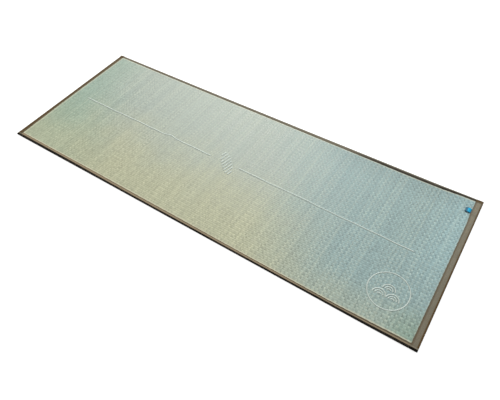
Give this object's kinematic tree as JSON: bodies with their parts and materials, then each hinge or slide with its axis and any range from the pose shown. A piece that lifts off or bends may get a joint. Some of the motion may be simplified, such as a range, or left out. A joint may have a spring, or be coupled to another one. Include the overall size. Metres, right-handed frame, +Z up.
{
  "type": "tatami mat",
  "caption": "Long flat woven rush mat bound on all sides with brown cloth tape, with a raised centre line and a small folded ribbon loop near one corner.",
  "frame": {"origin": "on the floor, under the middle of the mat", "axes": "+X along the length, towards the end with the ribbon loop; +Y across the width, towards the long edge nearer that loop; +Z up, out of the rush face"},
  "size_m": [1.8, 0.66, 0.0107],
  "materials": {
    "rush": "woven rush straw, satin, green fading to straw yellow",
    "front_tape": "matt woven cloth tape, taupe brown",
    "back_tape": "matt woven cloth tape, taupe brown",
    "left_tape": "matt woven cloth tape, taupe brown",
    "right_tape": "matt woven cloth tape, taupe brown",
    "label_ribbon": "satin ribbon, bright blue"
  },
  "bodies": {
    "root": {"mat_body": "rush", "binding_front": "front_tape", "binding_back": "back_tape", "binding_left": "left_tape", "binding_right": "right_tape", "label_loop": "label_ribbon"}
  },
  "joints": []
}
